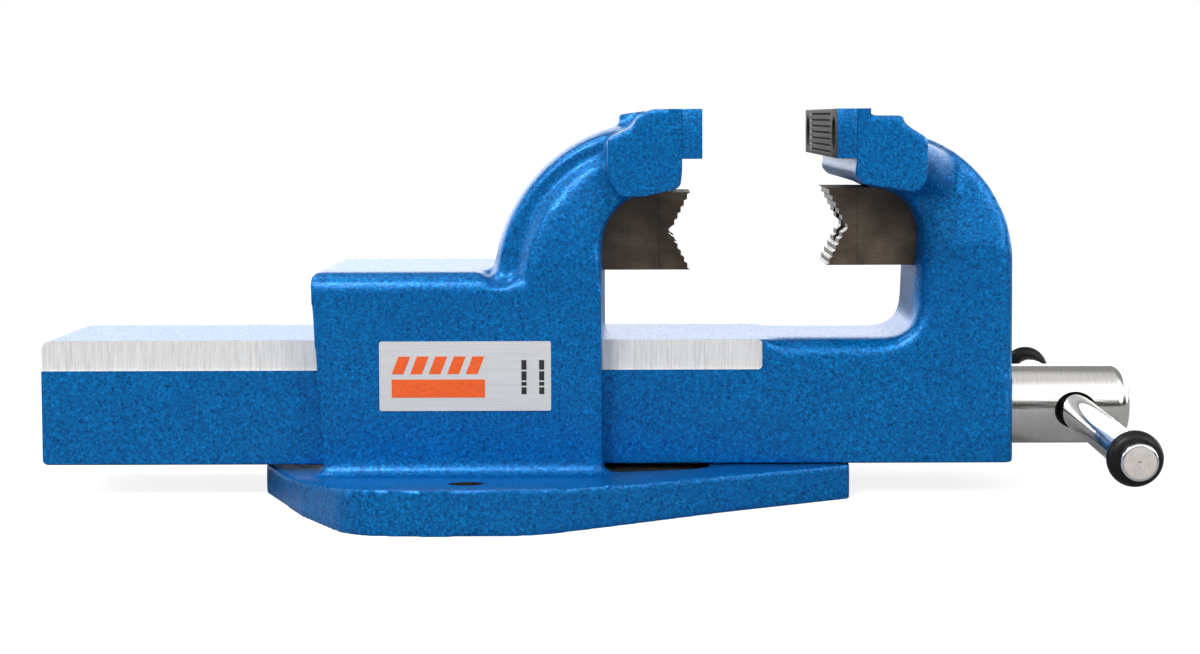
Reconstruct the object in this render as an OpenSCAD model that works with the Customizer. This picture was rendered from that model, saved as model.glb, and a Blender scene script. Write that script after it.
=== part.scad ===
// Bench vise with a prismatic slide, hard jaw plates and pipe jaws.
// Origin: on the underside, midway between the two bench bolts.
// +X runs towards the handle, +Z is up.

/* [Jaws] */
// Width of the jaws
jaw_w = 125; // [120:1:130]
// Opening between the plates in the stored pose
opening = 48.3; // [20:0.1:60]
// Height of the jaw tops above the bench
jaw_top = 148.2; // [146:0.2:152]
// X of the fixed plate's working face
fixed_face_x = 85; // [84:0.5:87]
// Thickness of a jaw plate
plate_t = 7.2; // [6.6:0.2:8]
// Height of a jaw plate
plate_h = 18; // [17:0.5:19]

/* [Slide] */
// Width of the slide bar over its painted sides
slide_w = 56; // [54:1:58]
// Depth of the machined way cut into each side of the bar
way_cut = 1; // [0.6:0.1:1.2]
// Height of the machined way
way_h = 11.4; // [10:0.2:12]
// Height of the slide bar
slide_h = 47.7; // [47:0.1:48.2]
// X of the bar's free rear end
slide_rear_x = -165; // [-167:1:-161]
// X of the moving jaw's front face
slide_front_x = 204.5; // [203.5:0.5:206]
// Gap between the slide bar and its guide
slide_gap = 0.3; // [0.2:0.05:0.5]

/* [Base] */
// Thickness of the base under the slide
base_t = 13; // [12.6:0.1:13.4]
// Thickness of the base beside the housing
lug_root_t = 11.5; // [11:0.1:12.4]
// Thickness of the base at the ends of its lugs
lug_rim_t = 16.4; // [15:0.2:17]
// Distance between the bench bolt holes
bolt_spacing = 140; // [136:1:144]
// Diameter of a bench bolt hole
bolt_hole_d = 13; // [11:0.5:13.5]
// X of the tongue's tip, under the slide
tongue_x = 142; // [130:1:146]

/* [Housing] */
// Width of the slide housing
housing_w = 80; // [78:1:84]
// Height of the housing's top above the bench
housing_top = 87.6; // [86:0.2:90]
// X of the housing's rear face at the top
housing_rear_x = -60.8; // [-62:0.1:-58]
// X of the housing's front face
housing_front_x = 48.2; // [47:0.1:49]

/* [Screw] */
// Outside diameter of the screw thread
screw_d = 20; // [18:0.5:20]
// Distance that the jaw moves in one turn
lead = 4; // [3:0.5:5]
// Height of the screw's axis above the bench
screw_z = 32; // [31:0.5:33]
// X of the screw's free end
screw_rear_x = -95; // [-100:1:-90]
// Diameter of the screw's head
hub_d = 31; // [30:0.5:32]
// X of the rounded end of the head
hub_end_x = 253; // [251:0.5:255]
// X of the handle's axis
handle_x = 231; // [229:0.5:232]

/* [Handle] */
// Diameter of the handle bar
handle_d = 13; // [12:0.5:14]
// Length of the handle bar
handle_len = 195; // [190:1:200]
// Outside diameter of a rubber ring
ring_d = 19.5; // [18:0.5:21]
// Width of a rubber ring
ring_w = 6; // [5:0.5:7]
// Distance from the handle's middle to a ring's middle
ring_y = 90.5; // [84:0.5:91]
// Distance that the handle stands out towards the near side
handle_out = 10.5; // [0:0.5:14]
// Slope of the handle, its near end lower, in degrees
handle_tilt = 2; // [0:0.5:4]

/* [Pipe jaws] */
// Width of a pipe jaw
pipe_w = 32; // [28:1:36]
// Height of a pipe jaw
pipe_h = 29.8; // [28:0.2:30.4]
// Depth of its V
pipe_v = 7.8; // [6:0.2:9]

/* [Label] */
// Length of the label plate
label_len = 64; // [56:1:68]
// Height of the label plate
label_h = 26; // [22:0.5:28]

/* [Hidden] */
$fn = 64;

eps = 0.01;
half_jaw = jaw_w / 2;
moving_face_x = fixed_face_x + opening;
slide_bottom = base_t + slide_gap;
slide_top = slide_bottom + slide_h;
way_bottom = slide_top - way_h;
way_end_x = 108.8;
land_z = jaw_top - plate_h;
arch_r = 61.8;
fixed_arch = [68.6, 82];
moving_arch_r = 49.8;
moving_arch = [slide_front_x - moving_arch_r, 90.5];
moving_arch_foot = [moving_arch[0], 0];
upright_x = 168.7;
throat_r = 20;
fixed_arch_top_w = 62;
fixed_rim_w = 62;
moving_rim_w = 50;
rim_slope = 12;
pipe_fixed_z = 86.6 + pipe_h / 2;
pipe_moving_z = 88.2 + pipe_h / 2;
pipe_fixed_tip_x = 82;
pipe_moving_tip_x = 134.1;
bay_w = 30;
bay_top = slide_top - 10.6;
bay_end_x = 178;
nut_w = 28;
nut_x = [10, 46];
nut_top = 46.5;
nut_screw_x = [18, 38];
nut_screw_d = 8;
nut_screw_sink = 7;
run_fit = 0.06;
washer_t = 2.5;
collar_d = 27.6;
spring_d = 27;
wire_d = 3;
spring_end_x = bay_end_x - washer_t;
spring_len = 16;
collar_len = 9;
collar_x = spring_end_x - spring_len - collar_len;
plate_screw_y = 51;
plate_screw_d = 6;
plate_screw_z = land_z + plate_h / 2;
pipe_screw_d = 8;
pipe_head_d = 13;
pipe_head_h = 8;
pipe_tap = 20;

// Points of an arc, in degrees.
function arc(centre, r, from, to, n) =
    [for (i = [0:n]) centre + r * [cos(from + (to - from) * i / n), sin(from + (to - from) * i / n)]];

// Extrudes an XZ outline from y0 to y1.
module side(y0, y1)
    translate([0, y1, 0]) rotate([90, 0, 0]) linear_extrude(y1 - y0) children();

// Extrudes a YZ outline from x0 to x1.
module front(x0, x1)
    translate([x0, 0, 0]) rotate([90, 0, 90]) linear_extrude(x1 - x0) children();

// A cylinder along X from x0 to x1, on the axis y, z.
module rod_x(x0, x1, d, y, z)
    translate([x0, y, z]) rotate([0, 90, 0]) cylinder(h = x1 - x0, d = d);

// Rounds an outline's outer corners.
module rounded(r)
    offset(r = r) offset(delta = -r) children();

// Half section of an arch of radius r: w wide at the throat and slimmer at its outer rim.
function arch_section(r, w, rim_w) = [
    [0, -w / 2], [r - rim_slope, -w / 2], [r, -rim_w / 2], [r, rim_w / 2], [r - rim_slope, w / 2],
    [0, w / 2]];

// A cast arch with the outline given, swept around its centre.
module arch(centre, r, w, rim_w)
    intersection() {
        side(-w / 2, w / 2) children();
        translate([centre[0], 0, centre[1]]) rotate([90, 0, 0]) rotate_extrude($fn = 128)
            polygon(arch_section(r, w, rim_w));
    }

// Half of the base flange, seen from above.
module base_half()
    polygon([[-82, 0], [-82, 14], [-60, 58], [-43, 91], [30, 91], [62, 73], [92, 50], [tongue_x, 30],
             [tongue_x, 0]]);

module base_outline()
    intersection() {
        rounded(18) {
            base_half();
            mirror([0, 1]) base_half();
            translate([tongue_x - eps, -30]) square([30, 60]);
        }
        translate([-100, -100]) square([tongue_x + 100, 200]);
    }

// A block as high as low out to y inner, rising to lug_rim_t at y outer.
module rising_top(x0, x1, inner, low, outer)
    front(x0, x1) polygon([[-outer, 0], [outer, 0], [outer, lug_rim_t], [inner, low], [-inner, low],
                           [-outer, lug_rim_t]]);

// The flange is thinner in the middle than at its lugs, so it stiffens their edges.
module base_plate() {
    intersection() {
        linear_extrude(lug_rim_t + 1) base_outline();
        union() {
            rising_top(-100, 52, 42, lug_root_t, 92);
            rising_top(52 - eps, tongue_x + 1, 29, base_t, 76);
        }
    }
}

module housing() {
    intersection() {
        side(-housing_w / 2, housing_w / 2)
            polygon([[housing_rear_x + 5, 0], [housing_front_x, 0], [housing_front_x, housing_top + 6],
                     [17.7, housing_top + 6], [17.7, housing_top - 1.6], [13, housing_top - 5.2],
                     [2.5, housing_top - 5.2], [2.5, housing_top], [housing_rear_x + 2, housing_top],
                     [housing_rear_x, housing_top - 2]]);
        front(housing_rear_x, housing_front_x)
            rounded(9) translate([-housing_w / 2, -20]) square([housing_w, housing_top + 20]);
    }
}

module fixed_arch_outline()
    polygon(concat([[housing_front_x, base_t]],
        arc([housing_front_x + throat_r, 97], throat_r, 180, 90, 12),
        [[72, 120], [66, 138]],
        arc(fixed_arch, arch_r, 104, 178, 24),
        [[fixed_arch[0] - arch_r, base_t]]));

module moving_arch_outline()
    polygon(concat([[upright_x, slide_bottom], [slide_front_x, slide_bottom]],
        arc(moving_arch, moving_arch_r, 0, 72, 20),
        [[150, 140], [150, 118]],
        arc([upright_x - 17, 101], 17, 90, 0, 12)));

module fixed_head_outline()
    rounded(2) polygon([
        [fixed_face_x - plate_t, land_z], [fixed_face_x - plate_t, jaw_top], [67.2, jaw_top],
        [61.5, 146], [59.6, 141.8], [51, 137.6], [50.6, 124], [54.5, 117], [66, 116.6], [76, 119.5],
        [fixed_face_x - plate_t, 124]]);

module moving_head_outline()
    rounded(2) polygon([
        [moving_face_x + plate_t, land_z], [moving_face_x + plate_t, jaw_top], [144.2, jaw_top],
        [144.6, 145.6], [157, 145.6], [157.6, 143.4], [166, 137.6], [166.2, 122.6], [162, 117.6],
        [142.5, 121], [moving_face_x + plate_t, 124]]);

module body_casting() {
    color("steelblue") difference() {
        union() {
            base_plate();
            housing();
            intersection() {
                arch(fixed_arch, arch_r, housing_w, fixed_rim_w) fixed_arch_outline();
                front(0, fixed_face_x) polygon([
                    [-housing_w / 2, 0], [housing_w / 2, 0], [housing_w / 2, 88],
                    [fixed_arch_top_w / 2, 122], [fixed_arch_top_w / 2, jaw_top],
                    [-fixed_arch_top_w / 2, jaw_top], [-fixed_arch_top_w / 2, 122], [-housing_w / 2, 88]]);
            }
            side(-half_jaw, half_jaw) fixed_head_outline();
        }
        slide_channel();
        tongue_recess();
        bench_holes();
        nut_screw_holes();
        plate_screw_holes(fixed_face_x, -1);
        pipe_seat(housing_front_x, 1, pipe_fixed_z);
        rod_x(housing_front_x - pipe_tap, housing_front_x + 1, pipe_screw_d - 1.4, 0, pipe_fixed_z);
    }
}

// The guide that the slide bar runs in, narrower at the two machined ways.
module slide_channel()
    front(housing_rear_x - 8, housing_front_x + 1) polygon(channel_outline(slide_w / 2 + slide_gap));

function channel_outline(half) = [
    [-half, base_t], [half, base_t], [half, way_bottom + slide_gap],
    [half - way_cut, way_bottom + slide_gap], [half - way_cut, slide_top + slide_gap],
    [-half + way_cut, slide_top + slide_gap], [-half + way_cut, way_bottom + slide_gap],
    [-half, way_bottom + slide_gap]];

// A shallow recess in the tongue, in front of the housing.
module tongue_recess()
    translate([housing_front_x, -34, lug_root_t]) cube([40, 68, 6]);

module bench_holes()
    for (s = [-1, 1]) translate([0, s * bolt_spacing / 2, -1]) cylinder(h = lug_rim_t + 2, d = bolt_hole_d);

module nut_screw_holes()
    for (x = nut_screw_x) translate([x, 0, -1]) {
        cylinder(h = base_t + 2, d = nut_screw_d + 0.6);
        cylinder(h = nut_screw_sink + 3, d = 15);
    }

// Tapped holes behind a jaw plate.
module plate_screw_holes(face_x, dir)
    for (s = [-1, 1]) translate([face_x + dir * plate_t, s * plate_screw_y, plate_screw_z])
        rotate([0, dir * 90, 0]) translate([0, 0, -1]) cylinder(h = 15, d = plate_screw_d - 0.8);

// The pocket milled into a throat for its pipe jaw; dir points to the gap.
module pipe_seat(back_x, dir, mid_z) {
    depth = throat_r + 4;
    translate([dir > 0 ? back_x : back_x - depth, -pipe_w / 2 - 0.1, mid_z - pipe_h / 2 - 0.1])
        cube([depth, pipe_w + 0.2, pipe_h + 0.2]);
}

module slide_bar() {
    difference() {
        side(-slide_w / 2, slide_w / 2) rounded(3)
            polygon([[slide_rear_x, slide_bottom], [slide_front_x, slide_bottom],
                     [slide_front_x, slide_top], [slide_rear_x, slide_top]]);
        for (s = [-1, 1]) side(s * slide_w / 2 - way_cut, s * slide_w / 2 + way_cut)
            polygon([[slide_rear_x - 1, way_bottom], [way_end_x, way_bottom], [way_end_x, slide_top + 1],
                     [slide_rear_x - 1, slide_top + 1]]);
    }
}

// The moving jaw's upright, below its arch.
module upright()
    translate([0, 0, slide_top - eps]) linear_extrude(moving_arch[1] - slide_top + eps)
        intersection() {
            translate(moving_arch_foot) polygon(arch_section(moving_arch_r, slide_w, moving_rim_w));
            translate([upright_x, -slide_w / 2]) square([slide_front_x - upright_x, slide_w]);
        }

module slide_casting() {
    color("steelblue") difference() {
        union() {
            slide_bar();
            arch(moving_arch, moving_arch_r, slide_w, moving_rim_w) moving_arch_outline();
            upright();
            side(-slide_w / 2, slide_w / 2) polygon(concat(
                [[upright_x + 1, slide_top - 1], [upright_x + 1, slide_top + 16]],
                arc([upright_x - 16, slide_top + 16], 16, 0, -90, 10),
                [[upright_x - 16, slide_top - 1]]));
            side(-half_jaw, half_jaw) moving_head_outline();
        }
        translate([slide_rear_x - 1, -bay_w / 2, slide_bottom - 1])
            cube([bay_end_x - slide_rear_x + 1, bay_w, bay_top - slide_bottom + 1]);
        rod_x(bay_end_x - 1, slide_front_x + 1, screw_d + 2 * run_fit, 0, screw_z);
        rod_x(slide_front_x - washer_t - 0.5, slide_front_x + 1, hub_d + 1.4, 0, screw_z);
        plate_screw_holes(moving_face_x, 1);
        pipe_seat(upright_x, -1, pipe_moving_z);
        rod_x(upright_x - 1, upright_x + pipe_tap, pipe_screw_d - 1.4, 0, pipe_moving_z);
    }
}

module main_nut() {
    color("goldenrod") difference() {
        translate([nut_x[0], -nut_w / 2, base_t]) cube([nut_x[1] - nut_x[0], nut_w, nut_top - base_t]);
        rod_x(nut_x[0] - 1, nut_x[1] + 1, screw_d + 2 * run_fit, 0, screw_z);
        for (x = nut_screw_x) translate([x, 0, base_t - 1]) cylinder(h = 5.5, d = nut_screw_d - 1.2);
    }
}

module nut_screws() {
    color("dimgray") for (x = nut_screw_x) translate([x, 0, 0]) difference() {
        union() {
            translate([0, 0, 1.4]) cylinder(h = 6, d = 13);
            translate([0, 0, 7]) cylinder(h = base_t - 7, d = nut_screw_d);
            translate([0, 0, base_t - 1]) cylinder(h = 5, d = nut_screw_d - 1.2);
        }
        translate([0, 0, 0]) cylinder(h = 4.4, d = 6.9, $fn = 6);
    }
}

module nut_washers() {
    color("silver") for (x = nut_screw_x) translate([x, 0, 7.4]) difference() {
        cylinder(h = 1.6, d = 14);
        translate([0, 0, -1]) cylinder(h = 4, d = nut_screw_d + 0.4);
    }
}

// Turned profile of one screw thread, from crest to crest.
function thread_ring(x) = [
    [screw_d / 2, x], [screw_d / 2, x + 0.36 * lead], [screw_d / 2 - 0.55 * lead, x + 0.5 * lead],
    [screw_d / 2 - 0.55 * lead, x + 0.86 * lead]];

module lead_screw() {
    thread_start = screw_rear_x + 3;
    turns = floor((collar_x - 3 - thread_start) / lead);
    hub_x = slide_front_x - 0.5;
    color("lightgray") difference() {
        union() {
            translate([0, 0, screw_z]) rotate([0, 90, 0]) rotate_extrude()
                polygon(concat([[0, screw_rear_x], [screw_d / 2 - 2.4, screw_rear_x]],
                    [for (i = [0:turns - 1]) each thread_ring(thread_start + i * lead)],
                    [[screw_d / 2, thread_start + turns * lead], [screw_d / 2, hub_x + 1], [0, hub_x + 1]]));
            translate([0, 0, screw_z]) rotate([0, 90, 0]) rotate_extrude()
                polygon(concat([[0, hub_x], [hub_d / 2, hub_x]],
                    arc([hub_d / 2 - 5.5, hub_end_x - 5.5], 5.5, 0, 90, 10),
                    [[0, hub_end_x]]));
        }
        along_handle() translate([0, 0, -hub_d]) cylinder(h = 2 * hub_d, d = handle_d + 0.16);
        translate([collar_x + collar_len / 2, 0, screw_z - hub_d]) cylinder(h = 2 * hub_d, d = 4);
    }
}

module thrust_washer() {
    color("darkgray") difference() {
        rod_x(slide_front_x - washer_t - 0.5, slide_front_x - 0.5, hub_d, 0, screw_z);
        rod_x(slide_front_x - 10, slide_front_x + 1, screw_d + 0.8, 0, screw_z);
    }
}

module spring_seat() {
    color("darkgray") difference() {
        rod_x(spring_end_x, bay_end_x, spring_d + 1, 0, screw_z);
        rod_x(spring_end_x - 1, bay_end_x + 1, screw_d + 0.8, 0, screw_z);
    }
}

module return_spring() {
    wire_n = 8;
    steps = 16;
    coils = 4;
    coil_r = (spring_d - wire_d) / 2;
    pitch = (spring_len - wire_d) / coils;
    count = coils * steps;
    pts = [for (i = [0:count], j = [0:wire_n - 1])
        let (turn = 360 * i / steps, a = 360 * (j + 0.5) / wire_n, r = coil_r + wire_d / 2 * cos(a))
        [collar_x + collar_len + wire_d / 2 + pitch * i / steps + wire_d / 2 * sin(a),
         r * cos(turn), screw_z + r * sin(turn)]];
    sides = [for (i = [0:count - 1], j = [0:wire_n - 1])
        let (k = (j + 1) % wire_n)
        [i * wire_n + j, i * wire_n + k, (i + 1) * wire_n + k, (i + 1) * wire_n + j]];
    ends = [[for (j = [wire_n - 1:-1:0]) j], [for (j = [0:wire_n - 1]) count * wire_n + j]];
    color("silver") polyhedron(points = pts, faces = concat(sides, ends));
}

module retaining_collar() {
    color("darkgray") difference() {
        rod_x(collar_x, collar_x + collar_len, collar_d, 0, screw_z);
        rod_x(collar_x - 1, collar_x + collar_len + 1, screw_d, 0, screw_z);
        translate([collar_x + collar_len / 2, 0, screw_z - hub_d]) cylinder(h = 2 * hub_d, d = 4);
    }
}

module collar_pin() {
    color("gray") translate([collar_x + collar_len / 2, 0, screw_z - collar_d / 2 + 0.4])
        cylinder(h = collar_d - 0.8, d = 4);
}

// Puts its children's Z axis on the handle's axis; -Z is the near side.
module along_handle()
    translate([handle_x, 0, screw_z]) rotate([handle_tilt - 90, 0, 0]) children();

module handle_bar() {
    half = handle_len / 2;
    groove = ring_w / 2 + 0.1;
    color("gainsboro") along_handle() translate([0, 0, -handle_out]) rotate_extrude() polygon([
        [0, -half], [handle_d / 2 - 1.2, -half], [handle_d / 2, -half + 1.2],
        [handle_d / 2, -ring_y - groove], [handle_d / 2 - 1, -ring_y - groove],
        [handle_d / 2 - 1, -ring_y + groove], [handle_d / 2, -ring_y + groove],
        [handle_d / 2, ring_y - groove], [handle_d / 2 - 1, ring_y - groove],
        [handle_d / 2 - 1, ring_y + groove], [handle_d / 2, ring_y + groove],
        [handle_d / 2, half - 1.2], [handle_d / 2 - 1.2, half], [0, half]]);
}

module handle_ring(y) {
    bore_r = handle_d / 2 - 1;
    color("black") along_handle() translate([0, 0, y - handle_out]) rotate_extrude()
        polygon(concat([[bore_r, -ring_w / 2]],
            arc([ring_d / 2 - ring_w / 2, 0], ring_w / 2, -90, 90, 12),
            [[bore_r, ring_w / 2]]));
}

module handle_ring_near() handle_ring(-ring_y);

module handle_ring_far() handle_ring(ring_y);

// A hardened jaw plate with two countersunk holes; dir points into its casting.
module jaw_plate(face_x, dir) {
    color("slategray") difference() {
        side(-half_jaw, half_jaw) polygon([
            [face_x, land_z], [face_x, jaw_top], [face_x + dir * plate_t, jaw_top],
            [face_x + dir * plate_t, land_z]]);
        for (s = [-1, 1]) translate([face_x, s * plate_screw_y, plate_screw_z])
            rotate([0, dir * 90, 0]) {
                translate([0, 0, -1]) cylinder(h = plate_t + 2, d = plate_screw_d + 0.4);
                translate([0, 0, -eps]) cylinder(h = 1.2, d = 2 * plate_screw_d + 0.4);
                translate([0, 0, 1.1]) cylinder(h = 3.4, d1 = 2 * plate_screw_d + 0.4,
                                                d2 = plate_screw_d - 0.4);
            }
    }
}

module jaw_plate_fixed() jaw_plate(fixed_face_x, -1);

module jaw_plate_moving() jaw_plate(moving_face_x, 1);

// Countersunk screws with a hexagon socket, sunk below the working face.
module jaw_screws(face_x, dir) {
    color("dimgray") for (s = [-1, 1]) translate([face_x, s * plate_screw_y, plate_screw_z])
        rotate([0, dir * 90, 0]) difference() {
            union() {
                translate([0, 0, 1.3]) cylinder(h = 3, d1 = 2 * plate_screw_d, d2 = plate_screw_d);
                translate([0, 0, 4.2]) cylinder(h = plate_t - 4.2, d = plate_screw_d);
                translate([0, 0, plate_t - 0.1]) cylinder(h = 12, d = plate_screw_d - 0.8);
            }
            translate([0, 0, 1]) cylinder(h = 2.8, d = 4.6, $fn = 6);
        }
}

module jaw_screws_fixed() jaw_screws(fixed_face_x, -1);

module jaw_screws_moving() jaw_screws(moving_face_x, 1);

// A pipe jaw: a block with a V in its face, from the tip at x to its back.
module pipe_jaw(tip_x, back_x, mid_z) {
    dir = sign(back_x - tip_x);
    low = mid_z - pipe_h / 2;
    high = mid_z + pipe_h / 2;
    color("dimgray") difference() {
        side(-pipe_w / 2, pipe_w / 2) polygon([
            [back_x, low], [tip_x, low], [tip_x + dir * pipe_v, mid_z], [tip_x, high],
            [back_x, high]]);
        rod_x(min(tip_x, back_x) - 1, max(tip_x, back_x) + 1, pipe_screw_d + 0.4, 0, mid_z);
        translate([tip_x, 0, mid_z]) rotate([0, dir * 90, 0])
            cylinder(h = pipe_v + pipe_head_h + 1, d = pipe_head_d + 0.6);
    }
}

module pipe_jaw_fixed() pipe_jaw(pipe_fixed_tip_x, housing_front_x, pipe_fixed_z);

module pipe_jaw_moving() pipe_jaw(pipe_moving_tip_x, upright_x, pipe_moving_z);

// The cap screw that holds a pipe jaw to its upright.
module pipe_screw(tip_x, back_x, mid_z) {
    dir = sign(back_x - tip_x);
    seat = pipe_v + pipe_head_h + 1;
    neck = abs(back_x - tip_x);
    color("dimgray") translate([tip_x, 0, mid_z]) rotate([0, dir * 90, 0]) difference() {
        union() {
            translate([0, 0, seat - pipe_head_h]) cylinder(h = pipe_head_h, d = pipe_head_d);
            translate([0, 0, seat - 1]) cylinder(h = neck - seat + 1, d = pipe_screw_d);
            translate([0, 0, neck - 0.1]) cylinder(h = 16, d = pipe_screw_d - 1.4);
        }
        translate([0, 0, seat - pipe_head_h - 1]) cylinder(h = 5, d = 7, $fn = 6);
    }
}

module pipe_screw_fixed() pipe_screw(pipe_fixed_tip_x, housing_front_x, pipe_fixed_z);

module pipe_screw_moving() pipe_screw(pipe_moving_tip_x, upright_x, pipe_moving_z);

// Plain aluminium plate stuck to the near side of the housing.
module label_plate() {
    color("lightgray") side(-housing_w / 2 - 0.6, -housing_w / 2)
        rounded(1) translate([-34.8, 36]) square([label_len, label_h]);
}

body_casting();
slide_casting();
main_nut();
nut_screws();
nut_washers();
lead_screw();
thrust_washer();
spring_seat();
return_spring();
retaining_collar();
collar_pin();
handle_bar();
handle_ring_near();
handle_ring_far();
jaw_plate_fixed();
jaw_plate_moving();
jaw_screws_fixed();
jaw_screws_moving();
pipe_jaw_fixed();
pipe_jaw_moving();
pipe_screw_fixed();
pipe_screw_moving();
label_plate();
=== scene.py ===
# Bench vise: its visible pieces and materials, built round the frame's bodies.
import math

import bmesh
import bpy
from mathutils import Matrix, Vector


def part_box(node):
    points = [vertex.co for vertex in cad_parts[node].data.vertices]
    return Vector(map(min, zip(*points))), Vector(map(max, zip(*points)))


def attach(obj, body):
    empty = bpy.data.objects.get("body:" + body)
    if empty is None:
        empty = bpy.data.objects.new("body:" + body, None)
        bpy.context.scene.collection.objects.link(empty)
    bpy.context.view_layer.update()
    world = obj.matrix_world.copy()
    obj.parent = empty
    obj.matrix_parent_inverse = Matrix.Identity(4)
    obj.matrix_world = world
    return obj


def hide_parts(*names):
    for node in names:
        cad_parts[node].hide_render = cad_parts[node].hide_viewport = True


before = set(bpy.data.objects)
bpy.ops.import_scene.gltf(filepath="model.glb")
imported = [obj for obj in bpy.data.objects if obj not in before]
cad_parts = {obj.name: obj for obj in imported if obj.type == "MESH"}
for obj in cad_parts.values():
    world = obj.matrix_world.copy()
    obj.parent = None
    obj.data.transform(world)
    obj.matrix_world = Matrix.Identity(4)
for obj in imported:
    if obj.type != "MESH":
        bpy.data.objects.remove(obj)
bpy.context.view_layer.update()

MM = 0.001
BODY = "vise_body"
JAW = "moving_jaw"
SPINDLE = "spindle"
HANDLE = "handle"
SHARP_ANGLE = math.radians(35)  # edges sharper than this stay crisp
BEVEL_SEGMENTS = 2


def box_mm(node):
    """The lowest and highest corner of a CAD node, in millimetres."""
    low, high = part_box(node)
    return low / MM, high / MM


# ------------------------ mesh tools


def mesh_object(name, points, faces, material):
    """A closed mesh from points in millimetres, with its normals outward."""
    mesh = bpy.data.meshes.new(name)
    mesh.from_pydata([Vector(p) * MM for p in points], [], faces)
    bm = bmesh.new()
    bm.from_mesh(mesh)
    bmesh.ops.remove_doubles(bm, verts=bm.verts, dist=1e-7)
    bmesh.ops.recalc_face_normals(bm, faces=bm.faces)
    bm.to_mesh(mesh)
    bm.free()
    mesh.materials.append(material)
    obj = bpy.data.objects.new(name, mesh)
    bpy.context.collection.objects.link(obj)
    return obj


PLACE = {                       # a point from its place along an axis and across it
    "x": lambda s, a, b: (s, a, b),
    "y": lambda s, a, b: (a, s, b),
    "z": lambda s, a, b: (a, b, s),
}


def prism(name, outline, axis, low, high, material):
    """An outline pushed along an axis. It is in XZ for axis y, YZ for x and XY for z."""
    n = len(outline)
    points = [PLACE[axis](s, a, b) for s in (low, high) for a, b in outline]
    faces = [(i, (i + 1) % n, n + (i + 1) % n, n + i) for i in range(n)]
    faces += [tuple(range(n)), tuple(range(n, 2 * n))]
    return mesh_object(name, points, faces, material)


def skin_faces(rows, steps):
    """The faces between rows of points, each a closed loop of steps points."""
    faces = []
    for i in range(rows - 1):
        for j in range(steps):
            k = (j + 1) % steps
            faces.append((i * steps + j, i * steps + k, (i + 1) * steps + k, (i + 1) * steps + j))
    return faces


def block(name, low, high, material):
    outline = [(low[0], low[1]), (high[0], low[1]), (high[0], high[1]), (low[0], high[1])]
    return prism(name, outline, "z", low[2], high[2], material)


def lathe(name, profile, centre, axis, material, steps=96):
    """Turns (along, radius) points round an axis through centre. Both ends lie on the axis."""
    place = PLACE[axis]
    a, b = centre
    rings = profile[1:-1]
    points = []
    for along, radius in rings:
        for j in range(steps):
            turn = 2 * math.pi * j / steps
            points.append(place(along, a + radius * math.cos(turn), b + radius * math.sin(turn)))
    faces = skin_faces(len(rings), steps)
    last = len(rings) - 1
    points.append(place(profile[0][0], a, b))
    points.append(place(profile[-1][0], a, b))
    for j in range(steps):
        k = (j + 1) % steps
        faces.append((len(points) - 2, k, j))
        faces.append((len(points) - 1, last * steps + j, last * steps + k))
    return mesh_object(name, points, faces, material)


def ring(name, profile, centre, material, steps=96):
    """Turns a closed (along, radius) outline round the Y direction, as a ring."""
    n = len(profile)
    points = []
    for j in range(steps):
        turn = 2 * math.pi * j / steps
        points += [(centre[0] + r * math.cos(turn), s, centre[1] + r * math.sin(turn)) for s, r in profile]
    faces = []
    for j in range(steps):
        k = (j + 1) % steps
        for i in range(n):
            m = (i + 1) % n
            faces.append((j * n + i, j * n + m, k * n + m, k * n + i))
    return mesh_object(name, points, faces, material)


def arc(cx, cy, radius, start, end, steps=12):
    """Points on an arc, with its angles in degrees."""
    turns = [math.radians(start + (end - start) * i / steps) for i in range(steps + 1)]
    return [(cx + radius * math.cos(t), cy + radius * math.sin(t)) for t in turns]


def rounded(corners, steps=6):
    """An outline with each corner (x, y, radius) rounded."""
    points = []
    n = len(corners)
    for i, (x, y, radius) in enumerate(corners):
        here = Vector((x, y))
        if radius <= 0:
            points.append((x, y))
            continue
        before = Vector(corners[i - 1][:2]) - here
        after = Vector(corners[(i + 1) % n][:2]) - here
        half = before.angle(after) / 2
        reach = min(radius / math.tan(half), 0.49 * before.length, 0.49 * after.length)
        radius = reach * math.tan(half)
        middle = here + (before.normalized() + after.normalized()).normalized() * radius / math.sin(half)
        start = here + before.normalized() * reach - middle
        sweep = start.angle_signed(here + after.normalized() * reach - middle)
        for k in range(steps + 1):
            turn = -sweep * k / steps
            points.append((middle.x + start.x * math.cos(turn) - start.y * math.sin(turn),
                           middle.y + start.x * math.sin(turn) + start.y * math.cos(turn)))
    return points


def bake_modifiers(obj):
    """Applies an object's modifiers to its mesh."""
    graph = bpy.context.evaluated_depsgraph_get()
    mesh = bpy.data.meshes.new_from_object(obj.evaluated_get(graph))
    obj.modifiers.clear()
    obj.data = mesh
    return obj


def combine(obj, others, operation):
    """Adds, cuts or intersects closed meshes. A cut face keeps the cutter's material."""
    for other in others:
        step = obj.modifiers.new("combine", "BOOLEAN")
        step.operation = operation
        step.solver = "MANIFOLD"
        step.material_mode = "TRANSFER"
        step.object = other
        bake_modifiers(obj)
        bpy.data.objects.remove(other)
    return obj


def recast(obj, voxel, passes):
    """Rebuilds a mesh as one skin and softens its edges, as a casting's are."""
    skin = obj.modifiers.new("skin", "REMESH")
    skin.mode = "VOXEL"
    skin.voxel_size = voxel * MM
    soften = obj.modifiers.new("soften", "SMOOTH")
    soften.factor = 0.5
    soften.iterations = passes
    return bake_modifiers(obj)


def shade(obj):
    """Smooth shading, with edges sharper than SHARP_ANGLE left crisp."""
    obj.data.shade_smooth()
    obj.data.set_sharp_from_angle(angle=SHARP_ANGLE)


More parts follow.
